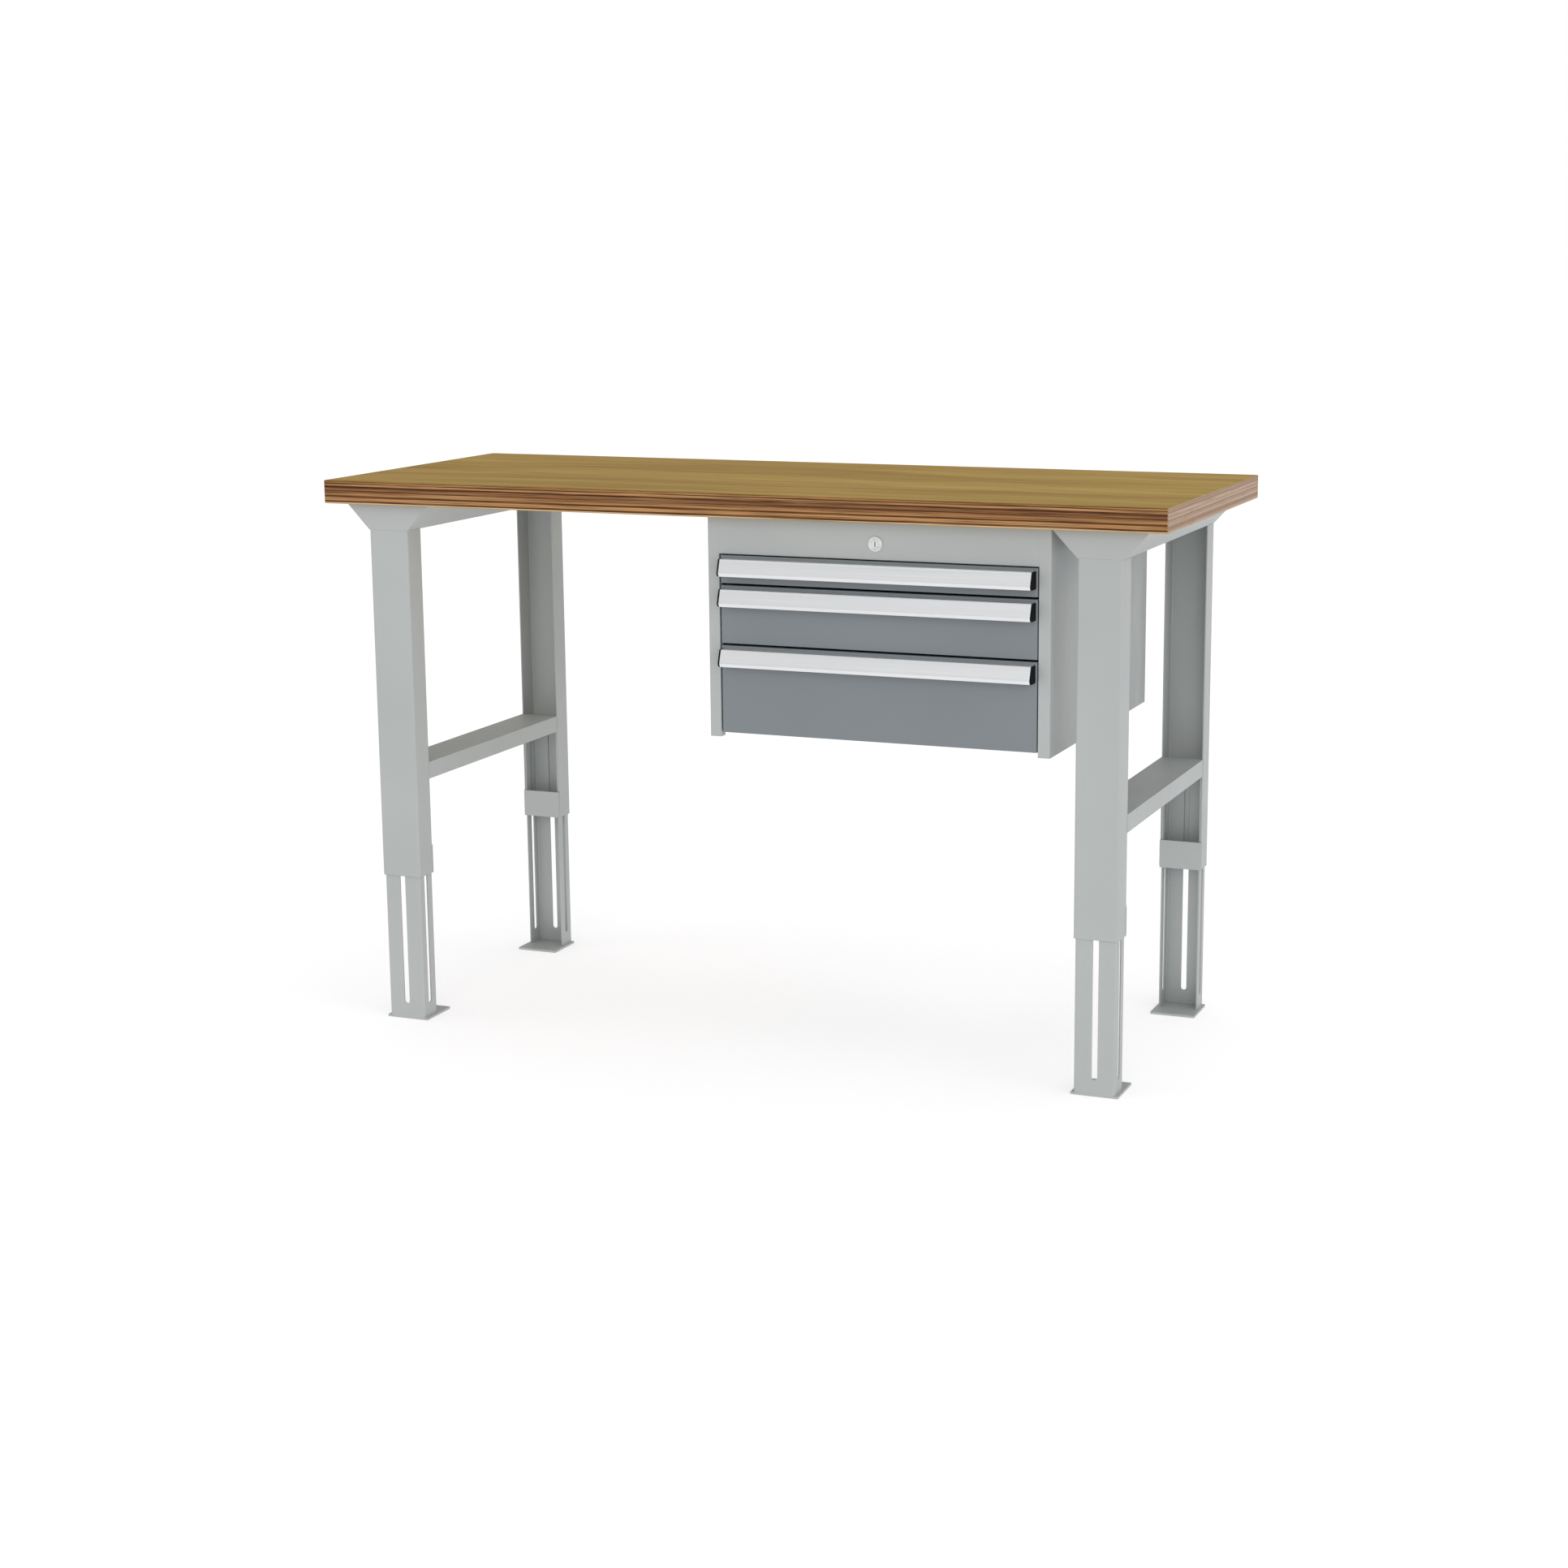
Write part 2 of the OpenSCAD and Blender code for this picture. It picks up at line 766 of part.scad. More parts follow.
// Arm on the plug's inner end, with the pin that lifts the yoke
module lock_cam() {
    color(zinc)
        at_lock() translate([0, 0, plug_len]) {
            cylinder(r = plug_d / 2, h = cam_t);
            translate([-cam_r, -cam_arm_r, 0]) cube([cam_r, 2 * cam_arm_r, cam_t]);
            translate([-cam_r, 0, 0]) cylinder(r = cam_arm_r, h = cam_t);
            translate([-cam_r, 0, 0])
                cylinder(r = cam_pin_r, h = yoke_y + yoke_t + cam_pin_end - plug_len);
        }
}

module locking_yoke() {
    bar_low = lock_z - bar_below;
    leg_low = slide_z(2) + tab_rise - yoke_tail;
    color(zinc)
        at_cabinet()
            difference() {
                union() {
                    translate([-yoke_leg_x - yoke_leg_w, yoke_y, bar_low])
                        cube([2 * (yoke_leg_x + yoke_leg_w), yoke_t, bar_below + bar_above]);
                    on_both_sides() {
                        translate([-yoke_leg_x - yoke_leg_w, yoke_y, leg_low])
                            cube([yoke_leg_w, yoke_t, bar_low - leg_low + eps]);
                        for (i = [0 : 2])
                            translate([-yoke_leg_x - eps, yoke_y, slide_z(i) + tab_rise])
                                cube([yoke_leg_x + eps - open_half + tab_reach, yoke_t, tab_h]);
                    }
                }
                // Window for the cam's pin
                translate([
                    -cam_r - cam_pin_r - cam_pin_play,
                    yoke_y - eps,
                    lock_z - cam_pin_r - cam_pin_play
                ])
                    cube([
                        cam_r + 2 * (cam_pin_r + cam_pin_play),
                        yoke_t + 2 * eps,
                        2 * (cam_pin_r + cam_pin_play) + cam_lead
                    ]);
                on_both_sides()
                    for (z = guide_zs)
                        translate([-guide_x, yoke_y - eps, 0])
                            slot_cut(
                                2 * (guide_r + guide_play),
                                z - guide_r - guide_play - cam_r,
                                z + guide_r + guide_play,
                                yoke_t + 2 * eps
                            );
            }
}

// Headed studs on the front uprights that guide the yoke
module yoke_guides() {
    reach = slide_y - yoke_y + yoke_gap;
    color(zinc)
        at_cabinet() on_both_sides()
            for (z = guide_zs)
                translate([-guide_x, slide_y, z]) rotate([90, 0, 0]) {
                    cylinder(r = guide_r, h = reach);
                    translate([0, 0, reach]) cylinder(r = guide_head_r, h = guide_head_t);
                }
}

worktop();
top_rail(-1);  // left_top_rail
top_rail(1);  // right_top_rail
upper_leg(-1, false);  // left_front_upper_leg
upper_leg(-1, true);  // left_rear_upper_leg
upper_leg(1, false);  // right_front_upper_leg
upper_leg(1, true);  // right_rear_upper_leg
cross_member(-1);  // left_cross_member
cross_member(1);  // right_cross_member
leg_straps();
clamp_studs();
clamp_washers();
clamp_nuts();
worktop_screws();
lower_leg(-1, false);  // left_front_lower_leg
lower_leg(-1, true);  // left_rear_lower_leg
lower_leg(1, false);  // right_front_lower_leg
lower_leg(1, true);  // right_rear_lower_leg
foot_plate(-1, false);  // left_front_foot_plate
foot_plate(-1, true);  // left_rear_foot_plate
foot_plate(1, false);  // right_front_foot_plate
foot_plate(1, true);  // right_rear_foot_plate
cabinet_side(-1);  // cabinet_left_side
cabinet_side(1);  // cabinet_right_side
cabinet_back();
cabinet_top();
lock_panel();
bottom_ties();
slide_uprights(-1);  // left_slide_uprights
slide_uprights(1);  // right_slide_uprights
drawer_bumpers();
slide_outer(0);  // top_slide_outer
slide_outer(1);  // middle_slide_outer
slide_outer(2);  // bottom_slide_outer
slide_middle(0);  // top_slide_middle
slide_middle(1);  // middle_slide_middle
slide_middle(2);  // bottom_slide_middle
slide_inner(0);  // top_slide_inner
slide_inner(1);  // middle_slide_inner
slide_inner(2);  // bottom_slide_inner
drawer_tray(0);  // top_drawer_tray
drawer_tray(1);  // middle_drawer_tray
drawer_tray(2);  // bottom_drawer_tray
drawer_front(0);  // top_drawer_front
drawer_front(1);  // middle_drawer_front
drawer_front(2);  // bottom_drawer_front
handle(0);  // top_handle
handle(1);  // middle_handle
handle(2);  // bottom_handle
handle_caps(0);  // top_handle_caps
handle_caps(1);  // middle_handle_caps
handle_caps(2);  // bottom_handle_caps
lock_housing();
lock_nut();
lock_plug();
lock_cam();
locking_yoke();
yoke_guides();
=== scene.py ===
"""Looks of the height-adjustable workbench with a three-drawer cabinet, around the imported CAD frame."""

import json
import math

import bmesh
import bpy
from mathutils import Matrix, Vector


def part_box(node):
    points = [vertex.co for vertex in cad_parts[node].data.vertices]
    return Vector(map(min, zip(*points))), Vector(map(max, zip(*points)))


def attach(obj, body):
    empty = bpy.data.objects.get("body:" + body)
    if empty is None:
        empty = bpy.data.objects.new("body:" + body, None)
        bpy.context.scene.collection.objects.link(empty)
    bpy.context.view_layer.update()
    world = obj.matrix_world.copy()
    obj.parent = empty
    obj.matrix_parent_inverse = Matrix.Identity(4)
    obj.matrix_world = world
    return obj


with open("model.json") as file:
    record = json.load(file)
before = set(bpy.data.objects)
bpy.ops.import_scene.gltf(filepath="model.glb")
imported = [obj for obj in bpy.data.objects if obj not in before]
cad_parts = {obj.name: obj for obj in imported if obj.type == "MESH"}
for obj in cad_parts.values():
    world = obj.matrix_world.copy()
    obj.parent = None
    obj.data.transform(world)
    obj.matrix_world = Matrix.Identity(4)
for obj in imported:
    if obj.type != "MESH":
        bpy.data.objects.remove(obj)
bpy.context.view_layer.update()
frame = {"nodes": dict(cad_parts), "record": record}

MM = 0.001
scene = bpy.context.scene


# ---------- camera ----------

# The view of the photograph: the place in metres, the turns in degrees
CAMERA_PLACE = (1.8218, -4.3436, 1.3853)
CAMERA_YAW_LEFT = 21.46
CAMERA_PITCH_DOWN = 11.414
CAMERA_ROLL = -0.292
SENSOR_MM = 36.0
LENS_MM = 62.43
# The photograph's middle isn't on the lens axis
SHIFT_X = -0.045
SHIFT_Y = -0.0057
CLIP_FAR = 200.0


def make_camera():
    yaw = math.radians(CAMERA_YAW_LEFT)
    pitch = math.radians(CAMERA_PITCH_DOWN)
    roll = math.radians(CAMERA_ROLL)
    forward = Vector((
        -math.sin(yaw) * math.cos(pitch),
        math.cos(yaw) * math.cos(pitch),
        -math.sin(pitch),
    ))
    level_right = Vector((math.cos(yaw), math.sin(yaw), 0.0))
    level_up = level_right.cross(forward)
    right = level_right * math.cos(roll) + level_up * math.sin(roll)
    up = level_up * math.cos(roll) - level_right * math.sin(roll)
    data = bpy.data.cameras.new("camera")
    data.sensor_width = SENSOR_MM
    data.lens = LENS_MM
    data.shift_x = SHIFT_X
    data.shift_y = SHIFT_Y
    data.dof.use_dof = False
    data.clip_end = CLIP_FAR
    camera = bpy.data.objects.new("camera", data)
    scene.collection.objects.link(camera)
    turn = Matrix((right, up, -forward)).transposed().to_4x4()
    camera.matrix_world = Matrix.Translation(CAMERA_PLACE) @ turn
    scene.camera = camera


make_camera()


# ---------- material graphs ----------

# The screen's own curve from a stored value to the light that it gives
CURVE_KNEE = 0.04045
CURVE_SLOPE = 12.92
CURVE_OFFSET = 0.055
CURVE_POWER = 2.4


def shade(red, green, blue):
    """A colour given as on a screen, 0 to 255, turned into the linear values that a shader takes."""
    def linear(value):
        share = value / 255.0
        if share <= CURVE_KNEE:
            return share / CURVE_SLOPE
        return ((share + CURVE_OFFSET) / (1.0 + CURVE_OFFSET)) ** CURVE_POWER
    return (linear(red), linear(green), linear(blue), 1.0)


# Sockets of the Mix node when it mixes colours
MIX_SHARE = 0
MIX_FIRST = 6
MIX_SECOND = 7
MIX_RESULT = 2
# How far the rounded and the flat normal agree on a flat face and on a sharp edge
EDGE_STARTS = 0.99
EDGE_FULL = 0.80
BEVEL_SAMPLES = 4

SHADER_INPUTS = {
    "colour": "Base Color",
    "metallic": "Metallic",
    "roughness": "Roughness",
    "gloss": "Specular IOR Level",
    "normal": "Normal",
}


class Graph:
    """One material's nodes. A socket, a number or a colour can feed an input.

    Places are metres in the object's frame, so a noise of scale 100 changes about every 10 mm.
    """

    def __init__(self, name):
        self.material = bpy.data.materials.new(name)
        self.material.use_nodes = True
        self.tree = self.material.node_tree
        self.tree.nodes.clear()
        self.place = self.add("ShaderNodeTexCoord").outputs["Object"]

    def add(self, kind, inputs=None, **settings):
        node = self.tree.nodes.new(kind)
        for name, value in settings.items():
            setattr(node, name, value)
        for name, value in (inputs or {}).items():
            self.feed(node.inputs[name], value)
        return node

    def feed(self, socket, value):
        if isinstance(value, bpy.types.NodeSocket):
            self.tree.links.new(value, socket)
        else:
            socket.default_value = value

    def stretched(self, scale, vector=None):
        """The object's coordinates, or a given vector, stretched by a factor along each axis."""
        source = self.place if vector is None else vector
        return self.add("ShaderNodeMapping", {"Vector": source, "Scale": scale}).outputs[0]

    def noise(self, scale, detail=2.0, roughness=0.5, vector=None):
        inputs = {
            "Vector": self.place if vector is None else vector,
            "Scale": scale,
            "Detail": detail,
            "Roughness": roughness,
        }
        return self.add("ShaderNodeTexNoise", inputs).outputs[0]

    def long_noise(self, scales, detail=2.0, roughness=0.5, vector=None):
        """Noise with its own scale along each axis, for grain and drawn lines."""
        return self.noise(1.0, detail, roughness, self.stretched(scales, vector))

    def remap(self, value, low, high, to_low=0.0, to_high=1.0, smooth=False):
        inputs = {
            "Value": value,
            "From Min": low,
            "From Max": high,
            "To Min": to_low,
            "To Max": to_high,
        }
        kind = "SMOOTHSTEP" if smooth else "LINEAR"
        return self.add("ShaderNodeMapRange", inputs, interpolation_type=kind).outputs[0]

    def number(self, operation, first, second=0.0):
        node = self.add("ShaderNodeMath", operation=operation)
        self.feed(node.inputs[0], first)
        self.feed(node.inputs[1], second)
        return node.outputs[0]

    def vector(self, operation, first, second):
        node = self.add("ShaderNodeVectorMath", operation=operation)
        self.feed(node.inputs[0], first)
        self.feed(node.inputs[1], second)
        return node

    def blend(self, share, first, second):
        """Two colours mixed by a share from 0 to 1."""
        node = self.add("ShaderNodeMix", data_type="RGBA", blend_type="MIX")
        self.feed(node.inputs[MIX_SHARE], share)
        self.feed(node.inputs[MIX_FIRST], first)
        self.feed(node.inputs[MIX_SECOND], second)
        return node.outputs[MIX_RESULT]

    def tint(self, base, colour, mask, low, high, amount=1.0):
        """A colour laid over a base: none of it where the mask is low, the amount where it is high."""
        return self.blend(self.remap(mask, low, high, 0.0, amount), base, colour)

    def split(self, vector):
        return self.add("ShaderNodeSeparateXYZ", {"Vector": vector}).outputs

    def join(self, **parts):
        return self.add("ShaderNodeCombineXYZ", parts).outputs[0]

    def bevel(self, radius):
        return self.add("ShaderNodeBevel", {"Radius": radius}, samples=BEVEL_SAMPLES).outputs[0]

    def edge_mask(self, rounded):
        """1 on the sharp edges that the bevel node rounds, 0 on the flat faces."""
        flat = self.add("ShaderNodeNewGeometry").outputs["Normal"]
        agreement = self.vector("DOT_PRODUCT", rounded, flat).outputs["Value"]
        return self.remap(agreement, EDGE_STARTS, EDGE_FULL, smooth=True)

    def bump(self, height, strength, distance, normal):
        inputs = {"Height": height, "Strength": strength, "Distance": distance, "Normal": normal}
        return self.add("ShaderNodeBump", inputs).outputs[0]

    def show(self, inputs):
        """The shader with the given inputs, as the material's surface."""
        shader = self.add("ShaderNodeBsdfPrincipled", inputs)
        output = self.add("ShaderNodeOutputMaterial")
        self.feed(output.inputs["Surface"], shader.outputs[0])
        return self.material

    def finish(self, **principled):
        return self.show({SHADER_INPUTS[key]: value for key, value in principled.items()})


# ---------- materials ----------

CLOUD_SHADE = 0.93
PAINT_GLOSS = 0.42
BOARD_GLOSS = 0.12
MOULDED_GLOSS = 0.15


def powder_coat(name, colour, worn_and_highlight, roughness):
    """Baked paint on sheet steel: fine orange peel, faint clouds, and sharp edges made paler, partly
    rubbed by handling and partly as a painted highlight.
    """
    g = Graph(name)
    rounded = g.bevel(0.9 * MM)
    clouds = g.noise(3.0, detail=3.0)
    speckle = g.noise(1400.0, detail=1.0)
    scuffs = g.noise(38.0, detail=6.0, roughness=0.72, vector=g.stretched((1.0, 1.0, 0.35)))
    darker = tuple(channel * CLOUD_SHADE for channel in colour[:3]) + (1.0,)
    base = g.tint(darker, colour, clouds, low=0.35, high=0.65)
    base = g.tint(base, worn_and_highlight, speckle, low=0.3, high=0.7, amount=0.10)
    uneven = g.remap(scuffs, low=0.40, high=0.62, to_low=0.10, to_high=0.75)
    # Paler sharp edges, broken up by scuffs: partly rubbed by handling, partly a painted highlight where
    # rounded edges catch the light
    wear_and_highlight = g.number("MULTIPLY", g.edge_mask(rounded), uneven)
    base = g.blend(wear_and_highlight, base, worn_and_highlight)
    rough = g.remap(scuffs, low=0.3, high=0.75, to_low=roughness - 0.06, to_high=roughness + 0.08)
    peel = g.noise(620.0, detail=2.0, roughness=0.4)
    relief = g.bump(peel, strength=0.10, distance=0.35 * MM, normal=rounded)
    return g.finish(colour=base, roughness=rough, gloss=PAINT_GLOSS, normal=relief)


# The board's colours: its faces, the layers as the long edges show them, and their end grain
FACE_DEEP = shade(162, 128, 50)
FACE_LIGHT = shade(189, 157, 76)
FACE_FIGURE = shade(130, 98, 48)
FACE_FIBRE = shade(186, 152, 74)
FACE_FLECK = shade(96, 66, 34)
PLY_DARK = shade(86, 50, 24)
PLY_DEEP = shade(68, 38, 18)
PLY_RED = shade(132, 91, 60)
PLY_TAN = shade(162, 120, 76)
PLY_LIGHT = shade(178, 134, 88)
PLY_PALE = shade(206, 178, 138)
STREAK_DARK = shade(66, 36, 16)
STREAK_LIGHT = shade(190, 136, 78)
THREAD_DARK = shade(64, 34, 16)
THREAD_LIGHT = shade(208, 170, 122)
END_DARK = shade(156, 129, 108)
END_MID = shade(176, 150, 129)
END_LIGHT = shade(192, 168, 148)
END_STREAK = shade(138, 110, 90)
END_THREAD = shade(132, 104, 84)
END_PORE = shade(128, 92, 66)
# Paler colour for the board's edges: partly rubbed, partly a painted highlight
ARRIS_WORN_AND_HIGHLIGHT = shade(186, 150, 100)

# The layers from the top down: thickness in mm, colour on the long edges, colour on the ends
PLIES = (
    (1.9, PLY_DARK, END_LIGHT),
    (2.2, PLY_TAN, END_DARK),
    (2.0, PLY_DARK, END_MID),
    (3.0, PLY_LIGHT, END_DARK),
    (3.6, PLY_DEEP, END_LIGHT),
    (4.0, PLY_RED, END_MID),
    (2.2, PLY_DARK, END_LIGHT),
    (2.4, PLY_RED, END_DARK),
    (4.6, PLY_TAN, END_MID),
    (3.0, PLY_DARK, END_LIGHT),
    (5.6, PLY_LIGHT, END_DARK),
    (3.0, PLY_DARK, END_MID),
    (2.8, PLY_PALE, END_LIGHT),
)
# Half a glue line, as a share of the board's thickness
GLUE_HALF = 0.005


def ply_ramp(g, height, colours):
    """The layers as bands of colour, over a height that runs from 0 at the top to 1 underneath."""
    ramp = g.add("ShaderNodeValToRGB", {"Fac": height})
    stops = ramp.color_ramp.elements
    stops[0].position = 0.0
    stops[0].color = colours[0]
    stops.remove(stops[1])
    total = sum(thickness for thickness, _, _ in PLIES)
    depth = 0.0
    for (thickness, _, _), above, below in zip(PLIES, colours, colours[1:]):
        depth += thickness / total
        stops.new(depth - GLUE_HALF).color = above
        stops.new(depth + GLUE_HALF).color = below
    return ramp.outputs[0]


def face_grain(g):
    """The board's faces: their colour, how rough they are, and the height of their grain."""
    # The grain runs along the board and wanders a little across it
    wander = g.add("ShaderNodeVectorMath", operation="MULTIPLY_ADD")
    g.feed(wander.inputs[0], g.join(Y=g.noise(2.6, detail=2.0)))
    g.feed(wander.inputs[1], (0.0, 0.10, 0.0))
    g.feed(wander.inputs[2], g.place)
    along = wander.outputs[0]
    bands = g.long_noise((0.8, 9.0, 9.0), detail=4.0, roughness=0.55, vector=along)
    figure = g.long_noise((3.5, 70.0, 70.0), detail=6.0, roughness=0.6, vector=along)
    fibre = g.long_noise((14.0, 900.0, 900.0), detail=3.0, roughness=0.6, vector=along)
    flecks = g.long_noise((150.0, 1300.0, 1300.0), detail=0.0, vector=along)
    colour = g.tint(FACE_DEEP, FACE_LIGHT, bands, low=0.36, high=0.64)
    colour = g.tint(colour, FACE_FIGURE, figure, low=0.40, high=0.66, amount=0.42)
    colour = g.tint(colour, FACE_FIBRE, fibre, low=0.42, high=0.70, amount=0.30)
    fleck_mask = g.remap(flecks, low=0.70, high=0.80, to_low=0.0, to_high=0.55)
    colour = g.blend(fleck_mask, colour, FACE_FLECK)
    rough = g.remap(figure, low=0.3, high=0.7, to_low=0.52, to_high=0.66)
    return colour, rough, g.number("SUBTRACT", fibre, fleck_mask)


def edge_layers(g, side_x):
    """The board's four edges: the layers' long grain in front and behind, their end grain at the ends."""
    low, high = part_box("worktop")
    waver = g.long_noise((4.0, 4.0, 9.0), detail=2.0)
    depth = g.number("SUBTRACT", high.z, g.split(g.place)[2])
    depth = g.number("DIVIDE", depth, high.z - low.z)
    shift = g.remap(waver, low=0.3, high=0.7, to_low=-0.012, to_high=0.012)
    depth = g.number("ADD", depth, shift)
    streaks = g.long_noise((9.0, 9.0, 950.0), detail=4.0, roughness=0.65)
    threads = g.long_noise((3.0, 3.0, 620.0), detail=2.0)
    pores = g.noise(2300.0, detail=1.0)
    front = ply_ramp(g, depth, [colour for _, colour, _ in PLIES])
    front = g.tint(front, STREAK_DARK, streaks, low=0.48, high=0.66, amount=0.70)
    front = g.tint(front, STREAK_LIGHT, streaks, low=0.47, high=0.32, amount=0.50)
    front = g.tint(front, THREAD_DARK, threads, low=0.56, high=0.62, amount=0.55)
    front = g.tint(front, THREAD_LIGHT, threads, low=0.40, high=0.34, amount=0.35)
    end = ply_ramp(g, depth, [colour for _, _, colour in PLIES])
    end = g.tint(end, END_STREAK, streaks, low=0.50, high=0.64, amount=0.45)
    end = g.tint(end, END_THREAD, threads, low=0.55, high=0.62, amount=0.30)
    end = g.tint(end, END_PORE, pores, low=0.52, high=0.75, amount=0.45)
    return g.blend(g.remap(side_x, low=0.6, high=0.8), front, end)


def beech_board(name):
    """Oiled plywood, with its grain on the two faces and its layers on the four edges."""
    g = Graph(name)
    side = g.split(g.add("ShaderNodeTexCoord").outputs["Normal"])
    side_x = g.number("ABSOLUTE", side[0])
    side_z = g.number("ABSOLUTE", side[2])
    face, rough, grain = face_grain(g)
    colour = g.blend(g.remap(side_z, low=0.6, high=0.8), edge_layers(g, side_x), face)
    rounded = g.bevel(0.8 * MM)
    # The board's edges mixed towards a paler colour: partly rubbed, partly a painted highlight
    arris = g.number("MULTIPLY", g.edge_mask(rounded), 0.35)
    colour = g.blend(arris, colour, ARRIS_WORN_AND_HIGHLIGHT)
    relief = g.bump(grain, strength=0.22, distance=0.25 * MM, normal=rounded)
    return g.finish(colour=colour, roughness=rough, gloss=BOARD_GLOSS, normal=relief)


def anodised_aluminium(name):
    """A drawn and anodised strip: fine lines along its length."""
    g = Graph(name)
    lines = g.long_noise((1.6, 2600.0, 2600.0), detail=3.0, roughness=0.6)
    clouds = g.noise(5.0, detail=3.0)
    colour = g.tint(shade(224, 226, 227), shade(240, 241, 242), lines, low=0.3, high=0.7)
    colour = g.tint(colour, shade(228, 229, 230), clouds, low=0.35, high=0.65, amount=0.25)
    rough = g.remap(lines, low=0.3, high=0.7, to_low=0.34, to_high=0.48)
    relief = g.bump(lines, strength=0.08, distance=0.08 * MM, normal=g.bevel(0.4 * MM))
    return g.finish(colour=colour, metallic=0.85, roughness=rough, normal=relief)


def zinc_plated(name):
    """Bright zinc on rolled steel: cloudy, with short rolling marks."""
    g = Graph(name)
    clouds = g.noise(45.0, detail=4.0, roughness=0.6)
    marks = g.long_noise((900.0, 18.0, 900.0), detail=3.0)
    colour = g.tint(shade(176, 180, 182), shade(206, 209, 210), clouds, low=0.35, high=0.65)
    colour = g.tint(colour, shade(150, 154, 156), marks, low=0.55, high=0.75, amount=0.25)
    rough = g.remap(clouds, low=0.3, high=0.7, to_low=0.28, to_high=0.46)
    relief = g.bump(marks, strength=0.10, distance=0.10 * MM, normal=g.bevel(0.4 * MM))
    return g.finish(colour=colour, metallic=0.9, roughness=rough, normal=relief)


def turned_nickel(name):
    """Nickel on turned brass: fine rings round the lock's axis."""
    g = Graph(name)
    low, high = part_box("lock_housing")
    parts = g.split(g.vector("SUBTRACT", g.place, (low + high) / 2).outputs[0])
    reach = g.add("ShaderNodeVectorMath", operation="LENGTH")
    g.feed(reach.inputs[0], g.join(X=parts[0], Z=parts[2]))
    ring_place = g.join(X=reach.outputs["Value"], Y=parts[1])
    rings = g.noise(5200.0, detail=2.0, vector=ring_place)
    colour = g.tint(shade(206, 208, 206), shade(228, 229, 227), rings, low=0.3, high=0.7)
    rough = g.remap(rings, low=0.3, high=0.7, to_low=0.20, to_high=0.32)
    relief = g.bump(rings, strength=0.12, distance=0.06 * MM, normal=g.bevel(0.35 * MM))
    return g.finish(colour=colour, metallic=0.9, roughness=rough, normal=relief)


def moulded_black(name, colour, dust_and_highlight, grain_scale, roughness):
    """Black moulded plastic or rubber with a fine spark-eroded grain, faint dust, and a painted highlight
    on its sharp edges.
    """
    g = Graph(name)
    rounded = g.bevel(0.5 * MM)
    grain = g.noise(grain_scale, detail=3.0, roughness=0.7)
    dust = g.noise(120.0, detail=4.0)
    base = g.tint(colour, dust_and_highlight, dust, low=0.45, high=0.75, amount=0.5)
    # Painted highlight: the sharp edges mixed towards the paler colour
    base = g.blend(g.number("MULTIPLY", g.edge_mask(rounded), 0.4), base, dust_and_highlight)
    rough = g.remap(grain, low=0.3, high=0.7, to_low=roughness - 0.06, to_high=roughness + 0.08)
    relief = g.bump(grain, strength=0.25, distance=0.12 * MM, normal=rounded)
    return g.finish(colour=base, roughness=rough, gloss=MOULDED_GLOSS, normal=relief)


materials = {
    "beech_plywood": beech_board("beech_plywood"),
    "light_grey_paint": powder_coat(
        "light_grey_paint", colour=shade(173, 177, 176), worn_and_highlight=shade(194, 196, 196), roughness=0.46
    ),
    "blue_grey_paint": powder_coat(
        "blue_grey_paint", colour=shade(122, 129, 133), worn_and_highlight=shade(148, 154, 157), roughness=0.44
    ),
    "handle_aluminium": anodised_aluminium("handle_aluminium"),
    "zinc_plate": zinc_plated("zinc_plate"),
    "lock_nickel": turned_nickel("lock_nickel"),
    "cap_plastic": moulded_black(
        "cap_plastic",
        colour=shade(4, 4, 5),
        dust_and_highlight=shade(14, 14, 15),
        grain_scale=1600.0,
        roughness=0.62,
    ),
    "bumper_rubber": moulded_black(
        "bumper_rubber",
        colour=shade(30, 30, 30),
        dust_and_highlight=shade(52, 51, 50),
        grain_scale=900.0,
        roughness=0.74,
    ),
}


def dress_nodes():
    """Each CAD node gets the material of its slot in the record."""
    for part in frame["record"]["subparts"]:
        material = materials[part["material_slot"]]
        mesh = frame["nodes"][part["node"]].data
        for index in range(len(mesh.materials)):
            mesh.materials[index] = material
        if not mesh.materials:
            mesh.materials.append(material)


dress_nodes()


# ---------- stage and light ----------

FLOOR_HALF = 60.0
FLOOR_DROP = 0.3 * MM
# The floor gives some light of its own, so that away from the bench it is as white as the room
FLOOR_GLOW = 0.46
FLOOR_ROUGHNESS = 0.9
FLOOR_GLOSS = 0.1
WHITE = (1.0, 1.0, 1.0, 1.0)


def make_floor():
    data = bpy.data.meshes.new("floor")
    shape = bmesh.new()
    corners = [
        shape.verts.new((x * FLOOR_HALF, y * FLOOR_HALF, -FLOOR_DROP))
        for x, y in ((-1, -1), (1, -1), (1, 1), (-1, 1))
    ]
    shape.faces.new(corners)
    shape.to_mesh(data)
    shape.free()
    floor = bpy.data.objects.new("floor", data)
    scene.collection.objects.link(floor)
    g = Graph("studio_floor")
    clouds = g.noise(1.5, detail=2.0)
    colour = g.blend(clouds, shade(223, 222, 224), shade(227, 226, 228))
    data.materials.append(g.show({
        "Base Color": colour,
        "Roughness": FLOOR_ROUGHNESS,
        "Specular IOR Level": FLOOR_GLOSS,
        "Emission Color": WHITE,
        "Emission Strength": FLOOR_GLOW,
    }))


# The white room's own light, weaker than the white that it shows
ROOM_LIGHT = 0.54
ROOM_SHOWN = 1.0
# Wide soft lamps, far enough off to light floor and bench evenly:
# where from, share of the room, spread in degrees
LAMPS = (
    ("soft_front", (0.25, -1.0, 0.30), 0.22, 50.0),
    ("soft_right", (1.0, -0.35, 0.30), 0.20, 50.0),
    ("soft_left", (-1.0, -0.45, 0.35), 0.10, 50.0),
    ("soft_top", (0.1, 0.1, 1.0), 0.12, 60.0),
)
LAMP_DISTANCE = 4.0


